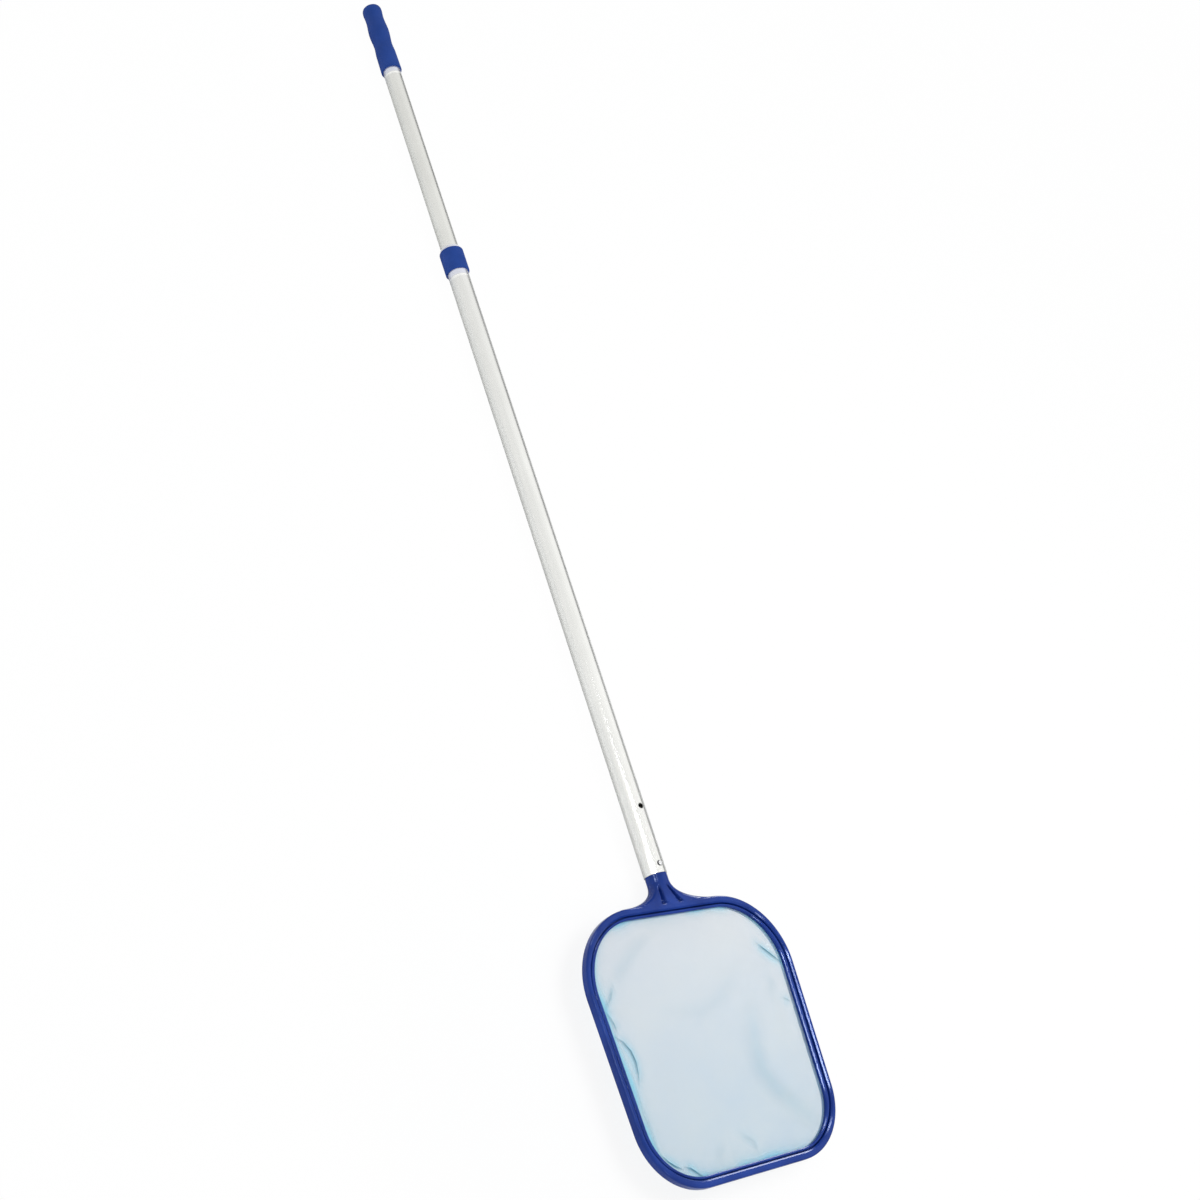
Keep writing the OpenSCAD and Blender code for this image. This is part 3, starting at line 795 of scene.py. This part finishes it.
# Floor. Seen by the camera it is white, and only by the head does it keep a share of its shadow.
# On the pole's right it is dark to mirrored rays, which gives the tubes their dark edge
ground = {
    "reach": 12.0, "roughness": 0.9, "litWhite": 0.9, "seenWhite": 0.97, "dimShare": (0.0, 0.32),
    "dimRange": (0.02, 0.08), "shadowMiddle": (-0.13, -0.68, 0), "shadowRange": (0.13, 0.34),
    "whiteShare": (0.83, 0.98),
}
reach = ground["reach"]
floorMesh = bpy.data.meshes.new("floor")
floorCorners = [(-reach, -reach, 0), (reach, -reach, 0), (reach, reach, 0), (-reach, reach, 0)]
floorMesh.from_pydata(floorCorners, [], [(0, 1, 2, 3)])
floor = bpy.data.objects.new("floor", floorMesh)
bpy.context.scene.collection.objects.link(floor)
floorMaterial, floorTree, floorShader, floorOutput = newMaterial("floorWhite")
floorRay = floorTree.nodes.new("ShaderNodeLightPath").outputs
floorPoint = objectPoint(floorTree)
dimmed = mapRange(floorTree, axesOf(floorTree, floorPoint)["X"], ground["dimShare"], ground["dimRange"])
mirrorDim = maths(floorTree, "MULTIPLY", floorRay["Is Glossy Ray"], dimmed)
floorWhite = mapRange(floorTree, floorRay["Is Camera Ray"], (ground["litWhite"], ground["seenWhite"]))
fill(floorTree, floorShader, {
    "Base Color": maths(floorTree, "SUBTRACT", floorWhite, mirrorDim),
    "Roughness": ground["roughness"],
})
fromHead = vectorMaths(floorTree, "DISTANCE", floorPoint, ground["shadowMiddle"])["Value"]
whiteShare = mapRange(floorTree, fromHead, ground["whiteShare"], ground["shadowRange"])
seenWhite = maths(floorTree, "MULTIPLY", floorRay["Is Camera Ray"], whiteShare)
floorGlow = floorTree.nodes.new("ShaderNodeEmission")
floorMix = mixedShader(floorTree, seenWhite, floorShader.outputs[0], floorGlow.outputs[0])
fill(floorTree, floorOutput, {0: floorMix})
floorMesh.materials.append(floorMaterial)
print("stage: floor")

# What the metal and the gloss mirror: a white tent overhead, over a dark horizon on the right and a
# pale one on the left. Its strength changes along the pole's direction
sky = {
    "ambient": (0.97, 0.985, 1), "ambientStrength": 0.78, "backdrop": (1, 1, 1),
    "tentRange": (0.2, 0.46), "tentDark": (0.03, 0.03, 0.035), "tentLight": (1, 1, 1),
    "leftTone": (0.9, 0.9, 0.9), "rightRange": (-0.3, 0.3), "rise": (1.06, 1.13),
    "riseRange": (0.2, 0.4), "fall": (1.13, 0.91), "fallRange": (0.42, 0.6),
}
world = bpy.data.worlds.new("studio")
world.use_nodes = True
bpy.context.scene.world = world
skyTree = world.node_tree
skyTree.nodes.clear()
skyOutput = skyTree.nodes.new("ShaderNodeOutputWorld")
skyRay = skyTree.nodes.new("ShaderNodeLightPath").outputs
bearing = axesOf(skyTree, skyTree.nodes.new("ShaderNodeTexCoord").outputs["Generated"])
tent = ramp(skyTree, bearing["Z"], sky["tentRange"], sky["tentDark"], sky["tentLight"])
rightSide = mapRange(skyTree, bearing["X"], (0.0, 1.0), sky["rightRange"])
strength = maths(skyTree, "MINIMUM", mapRange(skyTree, bearing["Y"], sky["rise"], sky["riseRange"]),
                 mapRange(skyTree, bearing["Y"], sky["fall"], sky["fallRange"]))


def background(colour, glow):
    node = skyTree.nodes.new("ShaderNodeBackground")
    return fill(skyTree, node, {0: colour, 1: glow}).outputs[0]


ambient = background(sky["ambient"], sky["ambientStrength"])
mirrored = background(blended(skyTree, rightSide, sky["leftTone"], tent), strength)
unseen = mixedShader(skyTree, skyRay["Is Glossy Ray"], ambient, mirrored)
seen = background(sky["backdrop"], 1)
fill(skyTree, skyOutput, {0: mixedShader(skyTree, skyRay["Is Camera Ray"], unseen, seen)})
print("stage: sky")

# One lamp lights the cloth and plastic, and the glints show only as lines of light on the gloss.
# glow is a lamp's radiance along its axis, which a narrow spread would otherwise raise
lamps = [
    {"name": "keyLight", "place": (0.75, -0.4, 1.25), "size": (0.7, 0.7), "glow": 5.5,
     "target": (0, (netLow.y + netHigh.y) / 2, netHigh.z), "lit": True},
    {"name": "neckGlint", "place": (-0.29, -0.408, 0.215), "size": (0.04, 0.1), "glow": 36,
     "target": (0, tubeEnd.y - 0.02, 0.03), "spread": 14},
    {"name": "rightGlint", "place": (-0.79, -0.45, 1.28), "size": (0.55, 0.3), "glow": 80,
     "target": (0.14, -0.62, 0.028), "spread": 16},
    {"name": "cornerGlint", "place": (0.02, 0.5, 0.85), "size": (0.7, 0.3), "glow": 30,
     "target": (0.11, -0.75, 0.028), "spread": 25},
    {"name": "farGlint", "place": (0.87, 0.17, 0.12), "size": (0.6, 0.22), "glow": 14,
     "target": (0, -0.775, 0.028), "spread": 30},
    {"name": "upperGlint", "place": (-0.14, -1.55, 1.1), "size": (0.7, 0.3), "glow": 30,
     "target": (0.1, -0.53, 0.028), "spread": 16},
]


def softbox(name, place, size, glow, target, lit=False, spread=180):
    halfSpread = math.radians(spread) / 2
    lamp = bpy.data.lights.new(name, "AREA")
    lamp.shape = "RECTANGLE"
    lamp.size, lamp.size_y = size
    lamp.spread = 2 * halfSpread
    focus = 1 if spread == 180 else math.tan(halfSpread) / (math.tan(halfSpread) - halfSpread)
    lamp.energy = glow * math.pi * size[0] * size[1] / focus
    lampObject = bpy.data.objects.new(name, lamp)
    lampObject.location = place
    lampObject.rotation_euler = (Vector(target) - Vector(place)).to_track_quat("-Z", "Y").to_euler()
    lampObject.visible_diffuse = lit
    lampObject.visible_glossy = not lit
    lampObject.visible_camera = False
    bpy.context.scene.collection.objects.link(lampObject)


for lampValues in lamps:
    softbox(**lampValues)
print("stage: lamps")

bpy.context.scene.view_settings.view_transform = "Standard"
